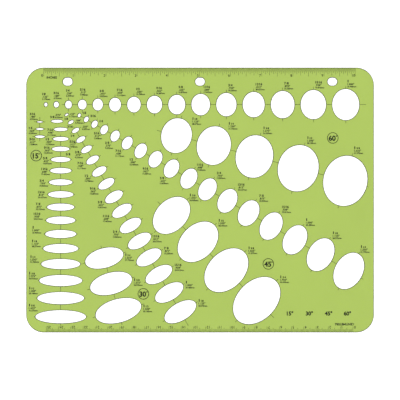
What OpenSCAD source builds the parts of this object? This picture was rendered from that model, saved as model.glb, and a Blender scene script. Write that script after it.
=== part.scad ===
// Ellipse template: a clear green drafting sheet with rows of elliptical cut-outs.
// A row shows one circle tilted to a fixed viewing angle, in growing sizes. Every row
// heads away from one pole near the upper left corner, and the short axis of each
// cut-out lies along its row. The printing on the upper face is a set of thin ink films.
// Millimetres, sheet flat on XY with its underside at Z = 0 and its centre at the origin.

/* [Sheet] */
// Width of the sheet, along its two scales
sheet_w = 283.5; // [270:0.5:330]
// Height of the sheet
sheet_h = 215.9; // [205:0.1:260]
// Thickness of the plastic
sheet_t = 0.8; // [0.5:0.1:2]
// Radius of the four corners
corner_r = 14.3; // [4:0.1:16]
// Least strip of plastic between a cut-out and the left or right edge
edge_strip = 4; // [2:0.5:8]

/* [Cut-outs] */
// Inset of the pole of the rows from the left edge
pole_inset_x = 28.1; // [27:0.1:34]
// Inset of the pole of the rows from the top edge
pole_inset_y = 30.1; // [29.5:0.1:36]
// Added to the plastic between neighbouring cut-outs of a row
gap_extra = 0; // [-0.5:0.1:1]

/* [Binder slots] */
// Number of slots along the top edge
slot_count = 3; // [2:1:3]
// Distance between the centres of neighbouring slots
slot_pitch = 107.95; // [80:0.05:108]
// Length of a slot, end to end
slot_l = 7.8; // [7.5:0.1:12]
// Width of a slot
slot_w = 6.5; // [5:0.1:7]
// Inset of the slot centres from the top edge
slot_inset = 11.4; // [11:0.1:12]

/* [Printing] */
// Thickness of the ink film
ink_t = 0.05; // [0.02:0.01:0.1]
// Width of a printed line
line_w = 0.28; // [0.1:0.02:0.34]
// Width of a tick of the two scales
tick_w = 0.2; // [0.1:0.02:0.34]
// Strip left bare between a printed line and an edge or a cut-out
ink_gap = 0.2; // [0.1:0.05:0.4]
// Inset of the zero of the inch scale from the left edge
inch_zero = 14.3; // [14:0.1:20]
// Longest tick of the inch scale
inch_tick = 7.2; // [6:0.1:8]
// Inset of the zero of the centimetre scale from the right edge
cm_zero = 17.1; // [14:0.1:20]
// Longest tick of the centimetre scale
cm_tick = 4.8; // [4:0.1:5]
// Longest mark at the ends of a long axis
axis_tick = 2.3; // [1:0.1:2.5]
// Length of the centre line before the first and after the last cut-out of a row
line_end = 1.6; // [1:0.1:1.8]
// Outer diameter of the ring around a viewing angle
badge_d = 9.2; // [8:0.1:10]
// Width of that ring's line
badge_line = 0.5; // [0.2:0.05:0.6]

/* [Hidden] */
INCH = 25.4;
SIXTEENTH = INCH / 16;
ONE_INCH = 16;
CENTIMETRE = 10;
$fn = 96;

PLASTIC = [0.70, 0.80, 0.38, 0.85];
INK = [0.14, 0.19, 0.10];

// One row of cut-outs per line: viewing angle, heading from the pole, distance of the
// first centre from the pole, sidestep to the left of the heading, smallest and largest
// size in sixteenths of an inch, plastic between cut-outs at the small and the large end,
// the smallest size that has printed axes, what the centre line adds after the last one,
// and the row's share of the longest mark at the ends of its long axes.
ROWS = [
    [60,   0, -12.1,   0,  2, 16, 5.1, 5.1,  4, 3.8,   1],
    [60, -15,  97.8,   0, 18, 26, 5.4, 5.4, 18,   0,   1],
    [45, -30,  17.5,   0,  2, 20, 3.8, 5.2,  3,   0, 0.8],
    [45, -45, 127.8,   0, 22, 28, 4.7, 4.7, 22,   0,   1],
    [30, -60,   9.6,   0,  2, 18, 5.0, 4.6,  4,   0, 0.8],
    [30, -75, 130.1, 1.9, 20, 24, 4.8, 4.8, 20,   0,   1],
    [15, -90,  14.1, -17,  3,  5, 4.4, 4.4,  3,   0, 0.8],
    [15, -90,  13.6,  -3,  6,  6, 4.8, 4.8,  7,   0, 0.8],
    [15, -90,  20.2,   0,  7, 26, 4.7, 4.9,  8,   0, 0.4],
];

// Ring around each viewing angle: heading and distance from the pole.
BADGES = [[-7, 223.6], [-37.5, 213.5], [-66.4, 168.5], [-115.6, 46.2]];

// Levels of the ticks of a scale, coarsest first: steps of the scale from one tick to the
// next, and share of the longest tick. An inch has halves to thirty-seconds, and a
// centimetre halves and millimetres.
INCH_STEPS = 32;
INCH_LEVELS = [[16, 1], [8, 0.88], [4, 0.75], [2, 0.62], [1, 0.44]];
CM_STEPS = 10;
CM_LEVELS = [[10, 1], [5, 0.75], [1, 0.55]];

POLE = [pole_inset_x - sheet_w / 2, sheet_h / 2 - pole_inset_y];
scale_strip = cm_tick + line_end + ink_gap;
inch_count = floor((sheet_w - inch_zero - corner_r) / INCH);
cm_count = floor((sheet_w - cm_zero - corner_r) / CENTIMETRE);

function view_of(row) = row[0];
function heading_of(row) = row[1];
function first_axes(row) = row[8];

// Sizes of a row in sixteenths: each one up to an inch, then every second one.
function sizes(row) = [for (n = [row[4] : row[5]]) if (n <= ONE_INCH || n % 2 == 0) n];

function long_axis(n) = n * SIXTEENTH;
function short_axis(row, n) = long_axis(n) * sin(view_of(row));

// Plastic between cut-out i and the next one, eased from the small to the large end.
function gap_after(row, i, count) =
    row[6] + (row[7] - row[6]) * i / max(count - 2, 1) + gap_extra;

// [distance along the row, size] of every cut-out of a row.
function stations(row) =
    let (all = sizes(row), count = len(all))
    [for (i = 0, at = row[2];
          i < count;
          at = at + (short_axis(row, all[i]) + short_axis(row, all[min(i + 1, count - 1)])) / 2
               + gap_after(row, i, count),
          i = i + 1) [at, all[i]]];

function turned(v, angle) =
    [v.x * cos(angle) - v.y * sin(angle), v.x * sin(angle) + v.y * cos(angle)];

// Does a cut-out leave its strip of plastic at every edge of the sheet?
function fits(row, at, n) =
    let (middle = POLE + turned([at, row[3]], heading_of(row)),
         half_short = short_axis(row, n) / 2,
         half_long = long_axis(n) / 2,
         c = cos(heading_of(row)),
         s = sin(heading_of(row)),
         reach = [norm([half_short * c, half_long * s]), norm([half_short * s, half_long * c])])
    abs(middle.x) + reach.x <= sheet_w / 2 - edge_strip
    && abs(middle.y) + reach.y <= sheet_h / 2 - scale_strip;

function cutouts(row) = [for (c = stations(row)) if (fits(row, c[0], c[1])) c];

module along_row(row) {
    translate(POLE) rotate(heading_of(row)) translate([0, row[3]]) children();
}

module ellipse(short, long) {
    scale([short / long, 1]) circle(d = long);
}

module sheet_outline() {
    inner = [sheet_w - 2 * corner_r, sheet_h - 2 * corner_r];
    square([sheet_w, inner.y], center = true);
    square([inner.x, sheet_h], center = true);
    for (x = [-1, 1], y = [-1, 1])
        translate([x * inner.x, y * inner.y] / 2) circle(r = corner_r);
}

module binder_slots() {
    straight = slot_l - slot_w;
    for (i = [0 : slot_count - 1])
        translate([(i - (slot_count - 1) / 2) * slot_pitch, sheet_h / 2 - slot_inset]) {
            square([straight, slot_w], center = true);
            for (side = [-1, 1]) translate([side * straight / 2, 0]) circle(d = slot_w);
        }
}

module ink() {
    color(INK) translate([0, 0, sheet_t]) linear_extrude(ink_t) children();
}

// Printed line along X from x0 to x1, centred on Y = 0.
module printed_line(x0, x1) {
    translate([x0, -line_w / 2]) square([x1 - x0, line_w]);
}

// Length of tick i: that of the coarsest level that it belongs to.
function tick_length(i, longest, levels) =
    [for (level = levels) if (i % level[0] == 0) level[1] * longest][0];

// Outline of a scale: a base line beside the edge with a tick for each division. X runs
// along the scale from its zero, and Y from the edge into the sheet.
function scale_points(count, pitch, longest, levels) =
    let (base = ink_gap + line_w, run = 2 * line_w, end = count * pitch + run)
    concat([[end, base], [end, ink_gap], [-run, ink_gap], [-run, base]],
           [for (i = [0 : count], corner = [[-1, 0], [-1, 1], [1, 1], [1, 0]])
               [i * pitch + corner.x * tick_w / 2,
                corner.y == 0 ? base : tick_length(i, longest, levels)]]);

module template_sheet() {
    color(PLASTIC) linear_extrude(sheet_t) difference() {
        sheet_outline();
        binder_slots();
        for (row = ROWS) along_row(row) for (c = cutouts(row))
            translate([c[0], 0]) ellipse(short_axis(row, c[1]), long_axis(c[1]));
    }
}

module inch_scale() {
    points = scale_points(inch_count * INCH_STEPS, INCH / INCH_STEPS, inch_tick, INCH_LEVELS);
    ink() translate([inch_zero - sheet_w / 2, sheet_h / 2]) mirror([0, 1]) polygon(points);
}

module centimetre_scale() {
    points = scale_points(cm_count * CM_STEPS, CENTIMETRE / CM_STEPS, cm_tick, CM_LEVELS);
    ink() translate([sheet_w / 2 - cm_zero, -sheet_h / 2]) mirror([1, 0]) polygon(points);
}

// Length of the centre line from distance at on, after the last cut-out of a row. It stops
// short of the right edge of the sheet.
function last_line(row, at) =
    let (x = (POLE + turned([at, row[3]], heading_of(row))).x)
    min(line_end + row[9], (sheet_w / 2 - ink_gap - x) / max(cos(heading_of(row)), 0.01));

// The line that the short axes lie on, printed between the cut-outs of each row.
module row_centre_lines() {
    ink() for (row = ROWS) along_row(row) {
        all = cutouts(row);
        for (i = [0 : 1 : len(all) - 1]) {
            here = all[i];
            half = short_axis(row, here[1]) / 2;
            if (here[1] >= first_axes(row)) {
                drawn_before = i > 0 && all[i - 1][1] >= first_axes(row);
                back = drawn_before
                    ? all[i - 1][0] + short_axis(row, all[i - 1][1]) / 2 + ink_gap
                    : here[0] - half - ink_gap - line_end;
                printed_line(back, here[0] - half - ink_gap);
                if (i == len(all) - 1) {
                    front = here[0] + half + ink_gap;
                    printed_line(front, front + last_line(row, front));
                }
            }
        }
    }
}

// A short mark past both ends of each long axis.
module axis_end_marks() {
    ink() for (row = ROWS) along_row(row) for (c = cutouts(row), end = [-1, 1])
        if (c[1] >= first_axes(row))
            translate([c[0], 0]) rotate(end * 90) {
                start = long_axis(c[1]) / 2 + ink_gap;
                printed_line(start, start + axis_tick * row[10]);
            }
}

module angle_badge_rings() {
    ink() for (b = BADGES) {
        middle = POLE + turned([b[1], 0], b[0]);
        if (abs(middle.x) + badge_d / 2 < sheet_w / 2 - ink_gap
            && abs(middle.y) + badge_d / 2 < sheet_h / 2 - scale_strip)
            translate(middle) difference() {
                circle(d = badge_d);
                circle(d = badge_d - 2 * badge_line);
            }
    }
}

template_sheet();
inch_scale();
centimetre_scale();
row_centre_lines();
axis_end_marks();
angle_badge_rings();
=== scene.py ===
"""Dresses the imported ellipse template: its clear sheet, its printing and the studio around it."""

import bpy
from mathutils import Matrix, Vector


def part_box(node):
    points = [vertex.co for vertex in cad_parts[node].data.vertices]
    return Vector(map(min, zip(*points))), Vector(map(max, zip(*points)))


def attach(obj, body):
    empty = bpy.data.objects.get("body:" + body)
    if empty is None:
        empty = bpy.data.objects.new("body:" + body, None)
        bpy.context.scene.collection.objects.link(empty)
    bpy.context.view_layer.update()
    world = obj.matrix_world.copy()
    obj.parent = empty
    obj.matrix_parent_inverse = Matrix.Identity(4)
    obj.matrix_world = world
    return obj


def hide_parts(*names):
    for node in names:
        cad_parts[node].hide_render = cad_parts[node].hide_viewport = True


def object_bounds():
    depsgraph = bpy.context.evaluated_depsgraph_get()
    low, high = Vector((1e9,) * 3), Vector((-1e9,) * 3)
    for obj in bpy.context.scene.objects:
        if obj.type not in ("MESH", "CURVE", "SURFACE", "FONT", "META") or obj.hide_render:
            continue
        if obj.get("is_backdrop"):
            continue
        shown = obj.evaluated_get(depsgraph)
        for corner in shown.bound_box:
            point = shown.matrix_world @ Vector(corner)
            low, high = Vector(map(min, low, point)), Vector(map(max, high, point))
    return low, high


bl_info = {
    "name": "Ellipse Template",
    "version": (1, 0, 0),
    "blender": (4, 5, 0),
    "location": "View3D > Sidebar > Template",
    "description": "Dresses a clear drafting template with rounded cut edges, scales and size labels",
    "category": "Object",
}

import math
from fractions import Fraction
from typing import NamedTuple

import bmesh
import bpy
from bpy.props import FloatProperty, FloatVectorProperty, IntProperty, PointerProperty
from mathutils import Matrix, Vector

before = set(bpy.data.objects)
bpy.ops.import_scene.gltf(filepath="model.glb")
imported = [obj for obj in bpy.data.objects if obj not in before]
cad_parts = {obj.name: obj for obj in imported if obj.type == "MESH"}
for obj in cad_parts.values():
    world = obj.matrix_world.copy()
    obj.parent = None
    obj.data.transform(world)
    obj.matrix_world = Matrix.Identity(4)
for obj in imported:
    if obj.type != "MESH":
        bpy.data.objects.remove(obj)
cad_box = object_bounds()

MM = 0.001
INCH_MM = 25.4
INCH = INCH_MM * MM
CENTIMETRE = 10 * MM

# Sizes of cut-outs count sixteenths of an inch.
SIXTEENTHS = 16
SIXTEENTH = INCH / SIXTEENTHS

SHEET_LOW, SHEET_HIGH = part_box("template_sheet")
SHEET_TOP = SHEET_HIGH.z
INK_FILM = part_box("inch_scale")[1].z - SHEET_TOP
INK_NODES = ("inch_scale", "centimetre_scale", "row_centre_lines", "axis_end_marks", "angle_badge_rings")

# Binder slots: their pitch, their distance from the top edge, the radius of their round ends, and
# how far the middles of those ends lie from the middle of the slot.
SLOT_PITCH = 107.95 * MM
SLOT_INSET = 11.4 * MM
SLOT_RADIUS = 3.25 * MM
SLOT_SPREAD = 0.65 * MM
SLOT_SIDES = 48

# Fewest sides of the outline of a cut-out.
LEAST_SIDES = 32

# Height of the built-in font's capitals, as a share of its size.
CAPITALS = 0.682

# Points of a letter's outline that lie closer than this share of its size are one point.
HAIRLINE = 0.004

# Points of finished printing that lie closer than this are one point.
WELD = 0.0001 * MM

# Steps in the bends of letters. Thickened letters have few, so that their notches stay open.
LABEL_STEPS = 3
FIGURE_STEPS = 6
WORD_STEPS = 2
BADGE_STEPS = 4
DEGREE_STEPS = 8

# Thickening of the scales' figures, as a share of that of other printing.
FIGURE_WEIGHT = 0.25

# Figures in the rings: their shift from the ring's middle and the gap before the degree mark.
BADGE_SHIFT = (-0.5 * MM, -0.2 * MM)
DEGREE_GAP = 0.1 * MM

# Height and lift of the degree mark as a share of the figures' height, and its thickening as a
# share of theirs.
DEGREE_SHARE = 0.5
DEGREE_BOLD = 1.5

# Line that lists the viewing angles: its start from the right edge, the pitch of its angles, and
# its base line from the lower edge.
LEGEND_INSET = 71 * MM
LEGEND_PITCH = 15.5 * MM
LEGEND_BASE = 13.9 * MM

# Base lines of a size label, below its top left corner.
FRACTION_BASE = 1.55 * MM
INCH_BASE = 3.7 * MM
MILLIMETRE_BASE = 5.55 * MM

# Whole inches of a label: their shift from its corner, their boldness as a share of a fraction's,
# and the gap after them.
WHOLE_SHIFT = (-0.1 * MM, 0.15 * MM)
WHOLE_BOLD = 2.2
WHOLE_GAP = 1.0 * MM

# Height and boldness of a fraction that follows whole inches, as shares of those of one alone.
MIXED_HEIGHT = 0.75
MIXED_BOLD = 1.3

# Letter spacing of a fraction, and the gap between its parts as a share of their height.
FRACTION_SPACING = 1.08
FRACTION_GAP = 0.07

# Shift and letter spacing of a label's inch line, and how much further to the left both lines of
# figures start from an inch on.
INCH_SHIFT = 0.1 * MM
INCH_SPACING = 1.12
LONG_FIGURES = 0.4 * MM

# Levels between which the noise of the materials mostly lies, and its roughness.
NOISE_LOW = 0.3
NOISE_HIGH = 0.7
NOISE_ROUGHNESS = 0.55

# Studio: half the floor's side and its gap below the sheet, the lamp's side and place, the width of
# the camera's sensor in millimetres, and the nearest distance that it sees.
FLOOR_REACH = 4.0
FLOOR_GAP = 0.02 * MM
SOFTBOX_SIDE = 1.4
SOFTBOX_PLACE = Vector((-1.5, 1.3, 2.0))
SENSOR_WIDTH = 36
NEAREST = 0.01


class Row(NamedTuple):
    """One row of cut-outs: sizes in sixteenths of an inch, lengths in millimetres.

    The row runs at its heading. Its first middle lies start along the heading and side across it,
    from the pole, and the gaps between neighbours ease from gap_small to gap_large.
    """

    view: int
    heading: float
    start: float
    side: float
    first: int
    last: int
    gap_small: float
    gap_large: float


class CutOut(NamedTuple):
    """One cut-out: its size in sixteenths, its place with the row's heading, its half axes in metres."""

    size: int
    seat: Matrix
    half_short: float
    half_long: float


class Scale(NamedTuple):
    """The figures and the unit word of one scale, in metres.

    figure is the place of a figure from its tick on the sheet's edge, and word_place is the place
    of the word from the tick of zero.
    """

    piece: str
    zero: float
    edge: float
    step: float
    last: int
    figure: tuple
    align: str
    word: str
    word_place: tuple
    turn: float


POLE = Vector((SHEET_LOW.x + 28.1 * MM, SHEET_HIGH.y - 30.1 * MM, 0))

ROWS = (
    Row(60, 0, -12.1, 0, 2, 16, 5.1, 5.1),
    Row(60, -15, 97.8, 0, 18, 26, 5.4, 5.4),
    Row(45, -30, 17.5, 0, 2, 20, 3.8, 5.2),
    Row(45, -45, 127.8, 0, 22, 28, 4.7, 4.7),
    Row(30, -60, 9.6, 0, 2, 18, 5.0, 4.6),
    Row(30, -75, 130.1, 1.9, 20, 24, 4.8, 4.8),
    Row(15, -90, 14.1, -17, 3, 5, 4.4, 4.4),
    Row(15, -90, 13.6, -3, 6, 6, 4.8, 4.8),
    Row(15, -90, 20.2, 0, 7, 26, 4.7, 4.9),
)

# Top left corner of the size labels of each row: the largest size that an entry holds for, the
# point of the cut-out that it counts from, and millimetres to the right and up from there.
LABEL_SEATS = (
    ((2, "high", -2.9, 7.7), (3, "high", -2.2, 7.7), (5, "high", -1.8, 8.9), (7, "high", 1.5, 7.0),
     (8, "high", 2.1, 7.0), (10, "high", 1.5, 7.0), (11, "high", 2.5, 6.3), (13, "high", 1.6, 6.9),
     (14, "high", 1.2, 6.9), (16, "high", 1.6, 6.9)),
    ((18, "high", 9.5, 0.6), (20, "high", 8.3, 3.3), (22, "high", 3.1, 7.0), (24, "high", 2.7, 7.0),
     (26, "high", 2.1, 7.6)),
    ((4, "split", 0, 0), (5, "low", -6.3, 1.2), (6, "low", -5.7, -0.8), (7, "low", -6.8, -0.9),
     (8, "low", -5.7, -0.9), (9, "low", -6.9, -0.7), (10, "low", -5.5, -0.3), (11, "high", 2.3, 4.4),
     (12, "high", 2.9, 5.8), (13, "high", 3.5, 5.0), (14, "high", 3.1, 5.2), (18, "high", 3.0, 6.0),
     (20, "high", 2.1, 6.6)),
    ((22, "high", 2.8, 4.8), (24, "high", 3.7, 4.6), (28, "high", 3.7, 4.2)),
    ((4, "split", 0, 0), (5, "low", -5.7, 0.9), (6, "low", -5.2, 0.7), (7, "low", -7.6, 0.9),
     (8, "low", -6.2, 0.3), (9, "low", -7.2, 0.3), (10, "low", -6.2, 0.3), (11, "low", -7.8, 0.7),
     (12, "low", -6.0, 0.3), (13, "high", 1.9, -0.6), (18, "high", 2.8, 2.6)),
    ((22, "high", 2.1, -0.9), (24, "high", 2.3, -0.5)),
    ((3, "middle", -8.2, 7.1), (4, "middle", -8.9, 1.5), (5, "middle", -8.4, -1.4)),
    ((6, "split", 0, 0),),
    ((7, "low", -5.3, 0.3), (8, "low", -5.7, 0.5), (10, "low", -6.4, 1.7), (11, "low", -7.0, 2.0),
     (12, "low", -7.6, 2.0), (13, "low", -8.1, 2.5), (14, "low", -9.1, 3.2), (16, "low", -10.0, 6.0),
     (18, "low", -8.8, 6.7), (20, "low", -8.6, 6.6), (22, "low", -8.0, 6.6), (24, "low", -6.4, 8.8),
     (26, "low", -5.0, 10.0)),
)

# Labels of the smallest cut-outs, whose fraction and figures stand apart, and a fraction that is
# printed twice: viewing angle, size, then the top left corners of both from the pole, in
# millimetres, with None where no figures are printed.
SPLIT_LABELS = (
    (45, 2, (18.1, -6.1), (6.9, -4.8)),
    (45, 3, (24.3, -8.6), (11.7, -10.0)),
    (45, 4, (31.8, -12.9), (17.5, -15.1)),
    (30, 2, (3.3, -11.0), None),
    (30, 3, (5.5, -17.3), None),
    (30, 4, (8.4, -24.8), None),
    (15, 6, (-8.5, -9.5), (-4.7, -5.5)),
    (15, 10, (4.4, -39.8), None),
)

# Ends of row centre lines that run on past the printed lines of the solids: the row's place in
# ROWS, the size of the cut-out, -1 before it or 1 after it, and millimetres from the cut-out to
# the end of the line.
LONG_ENDS = (
    (0, 4, -1, 2.7), (1, 18, -1, 4.2), (2, 3, -1, 3.6), (2, 20, 1, 2.3), (3, 22, -1, 3.6),
    (3, 28, 1, 4.1), (4, 18, 1, 6.0), (5, 20, -1, 2.5), (5, 24, 1, 2.3), (6, 3, -1, 3.2),
    (6, 5, 1, 2.7),
)

# Where the solids' own lines stop, past the cut-out.
SHORT_END = 1.8 * MM

# Rings around the viewing angles: the angle, then heading and distance from the pole in millimetres.
BADGES = ((60, -7, 223.6), (45, -37.5, 213.5), (30, -66.4, 168.5), (15, -115.6, 46.2))
VIEWS = tuple(view for view, heading, distance in BADGES)

SCALES = (
    Scale(piece="inch_figures", zero=SHEET_LOW.x + 14.3 * MM, edge=SHEET_HIGH.y, step=INCH, last=10,
          figure=(-1.35 * MM, -7.4 * MM), align="CENTER",
          word="INCHES", word_place=(2.4 * MM, -8.9 * MM), turn=0.0),
    Scale(piece="centimetre_figures", zero=SHEET_HIGH.x - 17.1 * MM, edge=SHEET_LOW.y, step=-CENTIMETRE,
          last=25, figure=(0.9 * MM, 5.2 * MM), align="RIGHT",
          word="CENTIMETERS", word_place=(1.0 * MM, 7.5 * MM), turn=math.pi),
)


def cut_outs(row):
    """Every cut-out of a row, placed as in the solids: by sixteenths to an inch, then by eighths."""
    sizes = [n for n in range(row.first, row.last + 1) if n <= SIXTEENTHS or n % 2 == 0]
    half_shorts = [n * SIXTEENTH / 2 * math.sin(math.radians(row.view)) for n in sizes]
    turn = Matrix.Rotation(math.radians(row.heading), 4, "Z")
    at = row.start * MM
    for i, size in enumerate(sizes):
        if i:
            ease = (i - 1) / max(len(sizes) - 2, 1)
            gap = row.gap_small + (row.gap_large - row.gap_small) * ease
            at += half_shorts[i - 1] + half_shorts[i] + gap * MM
        seat = Matrix.Translation(POLE) @ turn @ Matrix.Translation((at, row.side * MM, 0))
        yield CutOut(size, seat, half_shorts[i], size * SIXTEENTH / 2)


def from_pole(heading, distance):
    """The point at this heading, in degrees, and distance, in millimetres, from the pole."""
    angle = math.radians(heading)
    return POLE + Vector((math.cos(angle), math.sin(angle), 0)) * distance * MM


class TemplateSheetSettings(bpy.types.PropertyGroup):
    """Sizes and colours of the clear sheet."""

    corner_radius: FloatProperty(
        name="Corner Radius", description="Radius of the sheet's four corners",
        default=14.3 * MM, precision=4, unit="LENGTH")
    edge_width: FloatProperty(
        name="Edge Width", description="Width of the rounding of the cut edges, seen from above",
        default=0.42 * MM, precision=5, unit="LENGTH")
    rim_width: FloatProperty(
        name="Rim Width", description="Width of the rounding of the sheet's own edge, seen from above",
        default=0.48 * MM, precision=5, unit="LENGTH")
    side_width: FloatProperty(
        name="Side Width", description="Width of that rounding along the left and right edges",
        default=0.3 * MM, precision=5, unit="LENGTH")
    edge_drop: FloatProperty(
        name="Edge Drop", description="Height of the rounding of the cut edges",
        default=0.3 * MM, max=0.39 * MM, precision=5, unit="LENGTH")
    plastic: FloatVectorProperty(
        name="Plastic", description="Colour of the tinted plastic",
        default=(0.430, 0.583, 0.0935), min=0, max=1, size=3, subtype="COLOR")
    plastic_alpha: FloatProperty(
        name="Opacity", description="Share of what lies under the sheet that its tint hides",
        default=0.82, min=0, max=1, subtype="FACTOR")
    # The cut edges' dark colour is painted shade: it stands in for the shading and refraction at the
    # edges of the clear plastic.
    edge: FloatVectorProperty(
        name="Cut Edge", description="Colour of the cut edges, where the tint gathers",
        default=(0.022, 0.03, 0.008), min=0, max=1, size=3, subtype="COLOR")
    segments: IntProperty(
        name="Segments", description="Sides of the outline of a large cut-out",
        default=96, min=16, max=256)


class TemplatePrintSettings(bpy.types.PropertyGroup):
    """Sizes and colour of the printing."""

    ink: FloatVectorProperty(
        name="Ink", description="Colour of the printing ink",
        default=(0.007, 0.012, 0.004), min=0, max=1, size=3, subtype="COLOR")
    line_width: FloatProperty(
        name="Line Width", description="Width of the row centre lines",
        default=0.28 * MM, precision=5, unit="LENGTH")
    scale_capitals: FloatProperty(
        name="Scale Figures", description="Height of the figures of both scales",
        default=2.05 * MM, precision=5, unit="LENGTH")
    unit_capitals: FloatProperty(
        name="Unit Words", description="Height of the words that name a scale's unit",
        default=1.7 * MM, precision=5, unit="LENGTH")
    badge_capitals: FloatProperty(
        name="Angle Figures", description="Height of the viewing angles in their rings",
        default=3.9 * MM, precision=5, unit="LENGTH")
    legend_capitals: FloatProperty(
        name="Angle Legend", description="Height of the line that lists the viewing angles",
        default=3.0 * MM, precision=5, unit="LENGTH")
    fraction_capitals: FloatProperty(
        name="Size Fractions", description="Height of the fraction of a size label",
        default=1.75 * MM, precision=5, unit="LENGTH")
    inch_capitals: FloatProperty(
        name="Size in Inches", description="Height of the inch line of a size label",
        default=1.42 * MM, precision=5, unit="LENGTH")
    millimetre_capitals: FloatProperty(
        name="Size in Millimetres", description="Height of the millimetre line of a size label",
        default=1.17 * MM, precision=5, unit="LENGTH")
    boldness: FloatProperty(
        name="Boldness", description="Thickening of bold printing, as a share of the letter size",
        default=0.04, min=0, max=0.06, subtype="FACTOR")
    weight: FloatProperty(
        name="Weight", description="Thickening of the other printing, as a share of the letter size",
        default=0.035, min=0, max=0.06, subtype="FACTOR")


class TemplateStageSettings(bpy.types.PropertyGroup):
    """The studio around the sheet."""

    view_width: FloatProperty(
        name="View Width", description="Width of the floor that the camera frames",
        default=326.2 * MM, precision=4, unit="LENGTH")
    lens: FloatProperty(
        name="Lens", description="Focal length of the camera in millimetres",
        default=135.0, min=20, max=300)
    paper: FloatVectorProperty(
        name="Floor", description="Colour of the floor",
        default=(0.9, 0.9, 0.9), min=0, max=1, size=3, subtype="COLOR")
    glow: FloatProperty(
        name="Floor Glow", description="Light that the floor gives off, as a light table does",
        default=0.45, min=0)
    daylight: FloatProperty(
        name="Surrounding Light", description="Strength of the even light from all around",
        default=0.95, min=0)
    softbox: FloatProperty(
        name="Softbox", description="Power of the large soft lamp",
        default=20.0, min=0, unit="POWER")


def add_node(tree, kind, **values):
    """Adds a shader node; values that name an input set it, and others set the node itself."""
    node = tree.nodes.new(kind)
    for key, value in values.items():
        if key in node.inputs:
            node.inputs[key].default_value = value
        else:
            setattr(node, key.lower().replace(" ", "_"), value)
    return node


def new_material(name):
    """A material with one Principled shader, and the Object coordinates for its patterns."""
    material = bpy.data.materials.new(name)
    material.use_nodes = True
    tree = material.node_tree
    place = tree.nodes.new("ShaderNodeTexCoord").outputs["Object"]
    return material, tree, tree.nodes["Principled BSDF"], place


def two_tones(tree, factor, dark, light):
    """A colour that runs between two tones."""
    ramp = tree.nodes.new("ShaderNodeValToRGB")
    ramp.color_ramp.elements[0].position = NOISE_LOW
    ramp.color_ramp.elements[1].position = NOISE_HIGH
    ramp.color_ramp.elements[0].color = (*dark, 1)
    ramp.color_ramp.elements[1].color = (*light, 1)
    tree.links.new(factor, ramp.inputs["Fac"])
    return ramp.outputs["Color"]


def into_range(tree, factor, low, high):
    """A value that runs between two limits."""
    fit = add_node(tree, "ShaderNodeMapRange", clamp=True)
    fit.inputs["From Min"].default_value = NOISE_LOW
    fit.inputs["From Max"].default_value = NOISE_HIGH
    fit.inputs["To Min"].default_value = low
    fit.inputs["To Max"].default_value = high
    tree.links.new(factor, fit.inputs["Value"])
    return fit.outputs["Result"]


def toned(colour, by):
    """The colour, lighter or darker by a factor."""
    return tuple(min(c * by, 1.0) for c in colour)


def even_noise(tree, place, scale, detail=3.0):
    """Noise that is the same in every direction."""
    noise = add_node(tree, "ShaderNodeTexNoise", Scale=scale, Detail=detail, Roughness=NOISE_ROUGHNESS)
    tree.links.new(place, noise.inputs["Vector"])
    return noise.outputs["Fac"]


def stretched_noise(tree, place, across, along, turn):
    """Noise drawn out along one direction, in degrees, as handling scratches are."""
    mapping = tree.nodes.new("ShaderNodeMapping")
    mapping.inputs["Rotation"].default_value = (0, 0, math.radians(turn))
    mapping.inputs["Scale"].default_value = (along, across, across)
    tree.links.new(place, mapping.inputs["Vector"])
    return even_noise(tree, mapping.outputs["Vector"], scale=1.0)


def add_bump(tree, height, bsdf, strength, distance):
    """Relief under the gloss."""
    bump = add_node(tree, "ShaderNodeBump", Strength=strength, Distance=distance)
    tree.links.new(height, bump.inputs["Height"])
    tree.links.new(bump.outputs["Normal"], bsdf.inputs["Normal"])


def clear_plastic(colour, alpha):
    """Tinted clear plastic: faint clouds in the tint, fine scratches in the gloss."""
    material, tree, bsdf, place = new_material("clear_tinted_plastic")
    clouds = even_noise(tree, place, scale=18, detail=2.0)
    tint = two_tones(tree, clouds, dark=toned(colour, 0.975), light=toned(colour, 1.02))
    tree.links.new(tint, bsdf.inputs["Base Color"])
    scratches = stretched_noise(tree, place, across=900, along=30, turn=24)
    tree.links.new(into_range(tree, scratches, low=0.14, high=0.26), bsdf.inputs["Roughness"])
    ripple = even_noise(tree, place, scale=160, detail=2.0)
    add_bump(tree, ripple, bsdf, strength=0.15, distance=0.02 * MM)
    bsdf.inputs["IOR"].default_value = 1.49
    bsdf.inputs["Alpha"].default_value = alpha
    return material


def cut_plastic(colour):
    """The cut edge of the sheet: its dark colour is painted shade for the shading and refraction at the
    edge of the clear plastic, and its noise gives the fine marks the cutter left.
    """
    material, tree, bsdf, place = new_material("cut_edge_painted_shade")
    marks = even_noise(tree, place, scale=1400)
    tint = two_tones(tree, marks, dark=toned(colour, 0.8), light=toned(colour, 1.25))
    tree.links.new(tint, bsdf.inputs["Base Color"])
    tree.links.new(into_range(tree, marks, low=0.3, high=0.45), bsdf.inputs["Roughness"])
    add_bump(tree, marks, bsdf, strength=0.2, distance=0.02 * MM)
    bsdf.inputs["Specular IOR Level"].default_value = 0.0
    return material


def printing_ink(colour):
    """Screen printed ink: nearly black, a little uneven."""
    material, tree, bsdf, place = new_material("printing_ink")
    grain = even_noise(tree, place, scale=2600)
    tint = two_tones(tree, grain, dark=toned(colour, 0.75), light=toned(colour, 1.5))
    tree.links.new(tint, bsdf.inputs["Base Color"])
    tree.links.new(into_range(tree, grain, low=0.5, high=0.68), bsdf.inputs["Roughness"])
    add_bump(tree, grain, bsdf, strength=0.25, distance=0.01 * MM)
    bsdf.inputs["Specular IOR Level"].default_value = 0.2
    return material


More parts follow.
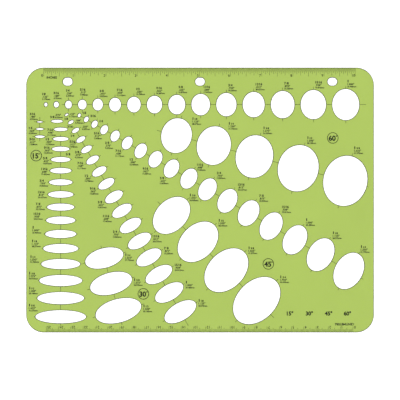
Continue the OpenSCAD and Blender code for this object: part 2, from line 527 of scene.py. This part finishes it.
def studio_paper(colour, glow):
    """The pale floor, lit a little from below as a light table is."""
    material, tree, bsdf, place = new_material("studio_paper")
    fibres = even_noise(tree, place, scale=40)
    tint = two_tones(tree, fibres, dark=toned(colour, 0.995), light=colour)
    tree.links.new(tint, bsdf.inputs["Base Color"])
    bsdf.inputs["Roughness"].default_value = 0.9
    bsdf.inputs["Specular IOR Level"].default_value = 0.1
    bsdf.inputs["Emission Color"].default_value = (1, 1, 1, 1)
    bsdf.inputs["Emission Strength"].default_value = glow
    return material


def shared_ink(context):
    """The ink of all the printing, made once."""
    return bpy.data.materials.get("printing_ink") or printing_ink(context.scene.template_print.ink)


def finish_piece(context, bm, name, slot, *materials):
    """Turns a bmesh into a piece of the template."""
    mesh = bpy.data.meshes.new(name)
    bm.to_mesh(mesh)
    bm.free()
    for material in materials:
        mesh.materials.append(material)
    piece = bpy.data.objects.new(name, mesh)
    context.scene.collection.objects.link(piece)
    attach(piece, "root")
    return piece


def edge_steps(thickness, width, drop):
    """Profile of a rounded edge from the underside up: (distance from the cut wall, height)."""
    knee = 1 - math.sqrt(0.5)
    low = [(width, 0), (knee * width, knee * drop), (0, drop)]
    return low + [(inset, thickness - height) for inset, height in reversed(low)]


def add_wall(bm, seat, radii, spread, side, steps, segments, shares=(1, 1)):
    """Draws a closed outline up through the steps of a rounded edge, and adds it at its seat.

    The outline is a ring of the given radii whose four quarters are moved apart by spread. The
    plastic lies outside it where side is 1, and inside it where side is -1. The shares narrow
    the rounding across and up the sheet.
    """
    wall = bmesh.new()
    turn = Matrix.Rotation(math.pi / segments, 4, "Z")
    ring = bmesh.ops.create_circle(wall, cap_ends=False, radius=1, segments=segments, matrix=turn)
    loop = ring["verts"]
    edges = wall.edges[:]
    reach, level = Vector((1, 1)), 0.0
    apart = False
    for inset, height in steps:
        if apart:
            drawn = bmesh.ops.extrude_edge_only(wall, edges=edges)["geom"]
            loop = [item for item in drawn if isinstance(item, bmesh.types.BMVert)]
            edges = [item for item in drawn if isinstance(item, bmesh.types.BMEdge)]
        wanted = Vector(radii) + Vector(shares) * side * inset
        stretch = (wanted.x / reach.x, wanted.y / reach.y, 1)
        for right in (-1, 1):
            for up in (-1, 1):
                quarter = [vert for vert in loop if vert.co.x * right > 0 and vert.co.y * up > 0]
                aside = Vector((right * spread[0], up * spread[1], 0))
                centre = Matrix.Translation(-aside) if apart else Matrix()
                bmesh.ops.scale(wall, verts=quarter, vec=stretch, space=centre)
                shift = Vector((0, 0, height - level))
                if not apart:
                    shift += aside
                bmesh.ops.translate(wall, verts=quarter, vec=shift)
        reach, level, apart = wanted, height, True
    mesh = bpy.data.meshes.new("wall")
    wall.to_mesh(mesh)
    wall.free()
    mesh.transform(seat)
    bm.from_mesh(mesh)
    bpy.data.meshes.remove(mesh)


class OBJECT_OT_template_sheet(bpy.types.Operator):
    """Build the clear sheet with its cut-outs, slots and rounded cut edges"""

    bl_idname = "object.template_sheet"
    bl_label = "Clear Sheet"

    def add_walls(self, bm, settings):
        """Adds the walls of the sheet's own edge, of the slots and of the cut-outs."""
        corner = settings.corner_radius
        inner = (SHEET_HIGH.x - corner, SHEET_HIGH.y - corner)
        rim = edge_steps(SHEET_TOP, settings.rim_width, settings.edge_drop)
        shares = (settings.side_width / settings.rim_width, 1)
        add_wall(bm, Matrix(), (corner, corner), inner, -1, rim, settings.segments, shares)
        steps = edge_steps(SHEET_TOP, settings.edge_width, settings.edge_drop)
        for at in (-SLOT_PITCH, 0, SLOT_PITCH):
            seat = Matrix.Translation((at, SHEET_HIGH.y - SLOT_INSET, 0))
            add_wall(bm, seat, (SLOT_RADIUS, SLOT_RADIUS), (SLOT_SPREAD, 0), 1, steps, SLOT_SIDES)
        for row in ROWS:
            for cut in cut_outs(row):
                grown = 4 * round(settings.segments * cut.size / SIXTEENTHS / 4)
                sides = max(LEAST_SIDES, min(settings.segments, grown))
                add_wall(bm, cut.seat, (cut.half_short, cut.half_long), (0, 0), 1, steps, sides)

    def add_faces(self, bm):
        """Fills the underside and the top between the walls, and gives back their faces."""
        flat = []
        for up in (-1, 1):
            border = [edge for edge in bm.edges
                      if edge.is_boundary and (edge.verts[0].co.z * 2 - SHEET_TOP) * up > 0]
            for edge in border:
                edge.smooth = False
            filled = bmesh.ops.triangle_fill(bm, use_beauty=True, edges=border, normal=(0, 0, up))
            flat += [item for item in filled["geom"] if isinstance(item, bmesh.types.BMFace)]
        return flat

    def execute(self, context):
        settings = context.scene.template_sheet
        bm = bmesh.new()
        self.add_walls(bm, settings)
        flat = self.add_faces(bm)
        bmesh.ops.recalc_face_normals(bm, faces=bm.faces)
        for face in bm.faces:
            face.material_index = 1
            face.smooth = True
        for face in flat:
            face.material_index = 0
            face.smooth = False
        if any(len(edge.link_faces) != 2 for edge in bm.edges):
            raise RuntimeError("the clear sheet isn't closed")
        faces = clear_plastic(settings.plastic, settings.plastic_alpha)
        # The walls and roundings get a dark colour that is painted shade along every cut edge.
        walls = cut_plastic(settings.edge)
        piece = finish_piece(context, bm, "clear_sheet", "green_plastic", faces, walls)
        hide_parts("template_sheet")
        return {"FINISHED"}


class OBJECT_OT_template_ink(bpy.types.Operator):
    """Give the printed lines of the solids their ink"""

    bl_idname = "object.template_ink"
    bl_label = "Printed Lines"

    def execute(self, context):
        ink = shared_ink(context)
        for name in INK_NODES:
            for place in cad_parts[name].material_slots:
                place.material = ink
        return {"FINISHED"}


def outlines(line):
    """The points of each outline in a line of letters without faces, from left to right."""
    seen = set()
    found = []
    for start in line.verts:
        if start in seen:
            continue
        seen.add(start)
        outline = [start]
        for vert in outline:
            near = [edge.other_vert(vert) for edge in vert.link_edges]
            fresh = [other for other in near if other not in seen]
            seen.update(fresh)
            outline += fresh
        found.append(outline)
    return sorted(found, key=lambda outline: min(vert.co.x for vert in outline))


def thicken(line, by):
    """Moves the walls of a line of flat letters outwards, and fills the faces of each letter anew."""
    bmesh.ops.recalc_face_normals(line, faces=line.faces)
    flat = [face for face in line.faces if abs(face.calc_center_median().z) > INK_FILM / 4]
    bmesh.ops.delete(line, geom=flat, context="FACES")
    letters = []
    for outline in outlines(line):
        if letters and min(vert.co.x for vert in outline) < max(vert.co.x for vert in letters[-1]):
            letters[-1] += outline
        else:
            letters.append(outline)
    moves = []
    for vert in line.verts:
        before, after = (face.normal for face in vert.link_faces)
        moves.append((before + after) * by / (1 + before.dot(after)))
    for vert, move in zip(line.verts, moves):
        vert.co.xy += move.xy
    for letter in letters:
        for up in (-1, 1):
            level = [vert for vert in letter if vert.co.z * up > 0]
            edges = [edge for vert in level for edge in vert.link_edges if edge.is_boundary]
            rim = list(dict.fromkeys(edges))
            bmesh.ops.triangle_fill(line, use_beauty=True, edges=rim, normal=(0, 0, up))


def print_line(bm, body, capitals, place, align="LEFT", bold=0.0, turn=0.0, spacing=1.0,
               steps=LABEL_STEPS):
    """Prints one line of letters on the sheet, and gives back its width.

    place is the start, middle or end of its base line.
    """
    curve = bpy.data.curves.new("line", "FONT")
    curve.body = body
    curve.size = capitals / CAPITALS
    curve.space_character = spacing
    curve.resolution_u = steps
    curve.extrude = INK_FILM / 2
    holder = bpy.data.objects.new("line", curve)
    mesh = bpy.data.meshes.new_from_object(holder)
    line = bmesh.new()
    line.from_mesh(mesh)
    bmesh.ops.remove_doubles(line, verts=line.verts, dist=HAIRLINE * curve.size)
    thicken(line, bold * curve.size)
    line.to_mesh(mesh)
    line.free()
    across = [vert.co.x for vert in mesh.vertices]
    start, end = min(across), max(across)
    shift = {"LEFT": -start, "CENTER": -(start + end) / 2, "RIGHT": -end}[align]
    seat = Matrix.Translation((place[0], place[1], SHEET_TOP + INK_FILM / 2))
    mesh.transform(seat @ Matrix.Rotation(turn, 4, "Z") @ Matrix.Translation((shift, 0, 0)))
    bm.from_mesh(mesh)
    bpy.data.objects.remove(holder)
    bpy.data.curves.remove(curve)
    bpy.data.meshes.remove(mesh)
    return end - start


def finish_print(context, bm, name):
    """Closes the printing and makes it a piece."""
    bmesh.ops.remove_doubles(bm, verts=bm.verts, dist=WELD)
    bmesh.ops.recalc_face_normals(bm, faces=bm.faces)
    finish_piece(context, bm, name, "printed_ink", shared_ink(context))


class OBJECT_OT_template_line_ends(bpy.types.Operator):
    """Print the long ends of the row centre lines"""

    bl_idname = "object.template_line_ends"
    bl_label = "Long Line Ends"

    def execute(self, context):
        settings = context.scene.template_print
        bm = bmesh.new()
        for number, size, side, reach in LONG_ENDS:
            cut = next(cut for cut in cut_outs(ROWS[number]) if cut.size == size)
            length = reach * MM - SHORT_END
            along = side * (cut.half_short + SHORT_END + length / 2)
            middle = Matrix.Translation((along, 0, SHEET_TOP + INK_FILM / 2))
            bar = Matrix.Diagonal((length, settings.line_width, INK_FILM, 1))
            bmesh.ops.create_cube(bm, size=1, matrix=cut.seat @ middle @ bar)
        finish_print(context, bm, "centre_line_ends")
        return {"FINISHED"}


class OBJECT_OT_template_scale_figures(bpy.types.Operator):
    """Print the figures and the unit words of the inch and centimetre scales"""

    bl_idname = "object.template_scale_figures"
    bl_label = "Scale Figures"

    def execute(self, context):
        settings = context.scene.template_print
        thin = FIGURE_WEIGHT * settings.weight
        for scale in SCALES:
            bm = bmesh.new()
            for number in range(scale.last + 1):
                tick = scale.zero + number * scale.step
                place = (tick + scale.figure[0], scale.edge + scale.figure[1])
                print_line(bm, str(number), settings.scale_capitals, place, scale.align, thin, scale.turn,
                           steps=FIGURE_STEPS)
            place = (scale.zero + scale.word_place[0], scale.edge + scale.word_place[1])
            print_line(bm, scale.word, settings.unit_capitals, place, bold=settings.weight,
                       turn=scale.turn, steps=WORD_STEPS)
            finish_print(context, bm, scale.piece)
        return {"FINISHED"}


class OBJECT_OT_template_angle_figures(bpy.types.Operator):
    """Print the viewing angles in their rings, and the line that lists them"""

    bl_idname = "object.template_angle_figures"
    bl_label = "Angle Figures"

    def execute(self, context):
        settings = context.scene.template_print
        capitals, bold = settings.badge_capitals, settings.weight
        bm = bmesh.new()
        for view, heading, distance in BADGES:
            middle = from_pole(heading, distance)
            base = (middle.x + BADGE_SHIFT[0], middle.y + BADGE_SHIFT[1] - capitals / 2)
            width = print_line(bm, str(view), capitals, base, "CENTER", bold, steps=BADGE_STEPS)
            place = (base[0] + width / 2 + DEGREE_GAP, base[1] + DEGREE_SHARE * capitals)
            print_line(bm, "°", DEGREE_SHARE * capitals, place, bold=DEGREE_BOLD * bold,
                       steps=DEGREE_STEPS)
        finish_print(context, bm, "angle_figures")
        bm = bmesh.new()
        for number, view in enumerate(sorted(VIEWS)):
            across = SHEET_HIGH.x - LEGEND_INSET + number * LEGEND_PITCH
            place = (across, SHEET_LOW.y + LEGEND_BASE)
            print_line(bm, f"{view}°", settings.legend_capitals, place, bold=settings.boldness)
        finish_print(context, bm, "angle_legend")
        return {"FINISHED"}


class OBJECT_OT_template_size_labels(bpy.types.Operator):
    """Print the size of each cut-out as a fraction, in inches and in millimetres"""

    bl_idname = "object.template_size_labels"
    bl_label = "Size Labels"

    def print_fraction(self, bm, settings, size, corner):
        """Prints the size as whole inches and a fraction."""
        whole, part = divmod(Fraction(size, SIXTEENTHS), 1)
        capitals, bold = settings.fraction_capitals, settings.boldness
        across, base = corner[0], corner[1] - FRACTION_BASE
        if whole:
            place = (across + WHOLE_SHIFT[0], base + WHOLE_SHIFT[1])
            across += print_line(bm, str(whole), capitals, place, bold=WHOLE_BOLD * bold) + WHOLE_GAP
            capitals, bold = MIXED_HEIGHT * capitals, MIXED_BOLD * bold
        if part:
            for letters, weight in ((part.numerator, bold), ("/", 0), (part.denominator, bold)):
                width = print_line(bm, str(letters), capitals, (across, base), bold=weight,
                                   spacing=FRACTION_SPACING)
                across += width + FRACTION_GAP * capitals

    def print_figures(self, bm, settings, size, corner):
        """Prints the size in inches, and under it in millimetres."""
        inches = f"{size / SIXTEENTHS:.3f}".lstrip("0") + '"'
        millimetres = f"{size * INCH_MM / SIXTEENTHS:.3f}mm"
        start = corner[0] - (LONG_FIGURES if size >= SIXTEENTHS else 0)
        place = (start + INCH_SHIFT, corner[1] - INCH_BASE)
        print_line(bm, inches, settings.inch_capitals, place, bold=settings.weight, spacing=INCH_SPACING)
        place = (start, corner[1] - MILLIMETRE_BASE)
        print_line(bm, millimetres, settings.millimetre_capitals, place, bold=settings.weight)

    def execute(self, context):
        settings = context.scene.template_print
        prints = {view: bmesh.new() for view in VIEWS}
        for row, seats in zip(ROWS, LABEL_SEATS):
            for cut in cut_outs(row):
                point, right, up = next(seat[1:] for seat in seats if cut.size <= seat[0])
                if point == "split":
                    continue
                ends = {"low": -cut.half_long, "middle": 0, "high": cut.half_long}
                corner = cut.seat @ Vector((0, ends[point], 0)) + Vector((right, up, 0)) * MM
                self.print_fraction(prints[row.view], settings, cut.size, corner)
                self.print_figures(prints[row.view], settings, cut.size, corner)
        for view, size, fraction, figures in SPLIT_LABELS:
            self.print_fraction(prints[view], settings, size, POLE + Vector((*fraction, 0)) * MM)
            if figures:
                self.print_figures(prints[view], settings, size, POLE + Vector((*figures, 0)) * MM)
        for view, bm in prints.items():
            finish_print(context, bm, f"size_labels_{view}_degrees")
        return {"FINISHED"}


class OBJECT_OT_template_studio(bpy.types.Operator):
    """Set up the floor, the soft light and the camera straight above the sheet"""

    bl_idname = "object.template_studio"
    bl_label = "Studio"

    def add_floor(self, scene, settings):
        """The pale floor just under the sheet."""
        bm = bmesh.new()
        bmesh.ops.create_grid(bm, x_segments=1, y_segments=1, size=FLOOR_REACH)
        mesh = bpy.data.meshes.new("studio_floor")
        bm.to_mesh(mesh)
        bm.free()
        mesh.materials.append(studio_paper(settings.paper, settings.glow))
        mesh.transform(Matrix.Translation((0, 0, SHEET_LOW.z - FLOOR_GAP)))
        floor = bpy.data.objects.new("studio_floor", mesh)
        scene.collection.objects.link(floor)
        floor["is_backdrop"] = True

    def add_light(self, scene, settings):
        """Even light from all around, and one large soft lamp."""
        world = bpy.data.worlds.new("studio_daylight")
        world.use_nodes = True
        background = world.node_tree.nodes["Background"]
        background.inputs["Color"].default_value = (1, 1, 1, 1)
        background.inputs["Strength"].default_value = settings.daylight
        scene.world = world
        lamp = bpy.data.lights.new("studio_softbox", "AREA")
        lamp.shape = "SQUARE"
        lamp.size = SOFTBOX_SIDE
        lamp.energy = settings.softbox
        softbox = bpy.data.objects.new("studio_softbox", lamp)
        softbox.location = SOFTBOX_PLACE
        softbox.rotation_euler = (-SOFTBOX_PLACE).to_track_quat("-Z", "Y").to_euler()
        scene.collection.objects.link(softbox)

    def add_camera(self, scene, settings):
        """The camera that looks straight down."""
        eye = bpy.data.cameras.new("studio_camera")
        eye.sensor_width = SENSOR_WIDTH
        eye.lens = settings.lens
        eye.clip_start = NEAREST
        camera = bpy.data.objects.new("studio_camera", eye)
        camera.location = (0, 0, SHEET_TOP + settings.view_width * eye.lens / eye.sensor_width)
        scene.collection.objects.link(camera)
        scene.camera = camera
        scene.view_settings.view_transform = "Standard"

    def execute(self, context):
        scene = context.scene
        settings = scene.template_stage
        self.add_floor(scene, settings)
        self.add_light(scene, settings)
        self.add_camera(scene, settings)
        return {"FINISHED"}


class VIEW3D_PT_template(bpy.types.Panel):
    """The steps that dress the template, with their settings"""

    bl_label = "Ellipse Template"
    bl_space_type = "VIEW_3D"
    bl_region_type = "UI"
    bl_category = "Template"

    def draw(self, context):
        scene = context.scene
        printing = (
            OBJECT_OT_template_ink,
            OBJECT_OT_template_line_ends,
            OBJECT_OT_template_scale_figures,
            OBJECT_OT_template_angle_figures,
            OBJECT_OT_template_size_labels,
        )
        groups = (
            (scene.template_sheet, (OBJECT_OT_template_sheet,)),
            (scene.template_print, printing),
            (scene.template_stage, (OBJECT_OT_template_studio,)),
        )
        for settings, operators in groups:
            box = self.layout.box()
            for name in settings.bl_rna.properties.keys():
                if name not in ("rna_type", "name"):
                    box.prop(settings, name)
            for operator in operators:
                box.operator(operator.bl_idname)


CLASSES = (
    TemplateSheetSettings,
    TemplatePrintSettings,
    TemplateStageSettings,
    OBJECT_OT_template_sheet,
    OBJECT_OT_template_ink,
    OBJECT_OT_template_line_ends,
    OBJECT_OT_template_scale_figures,
    OBJECT_OT_template_angle_figures,
    OBJECT_OT_template_size_labels,
    OBJECT_OT_template_studio,
    VIEW3D_PT_template,
)


def register():
    for cls in CLASSES:
        bpy.utils.register_class(cls)
    bpy.types.Scene.template_sheet = PointerProperty(type=TemplateSheetSettings)
    bpy.types.Scene.template_print = PointerProperty(type=TemplatePrintSettings)
    bpy.types.Scene.template_stage = PointerProperty(type=TemplateStageSettings)


def unregister():
    del bpy.types.Scene.template_stage
    del bpy.types.Scene.template_print
    del bpy.types.Scene.template_sheet
    for cls in reversed(CLASSES):
        bpy.utils.unregister_class(cls)


def main():
    register()
    bpy.ops.object.template_sheet()
    bpy.ops.object.template_ink()
    bpy.ops.object.template_line_ends()
    bpy.ops.object.template_scale_figures()
    bpy.ops.object.template_angle_figures()
    bpy.ops.object.template_size_labels()
    bpy.ops.object.template_studio()
    boxes = {"cad": cad_box, "visual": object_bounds()}
    {name: [list(corner) for corner in box] for name, box in boxes.items()}


if __name__ == "__main__":
    main()
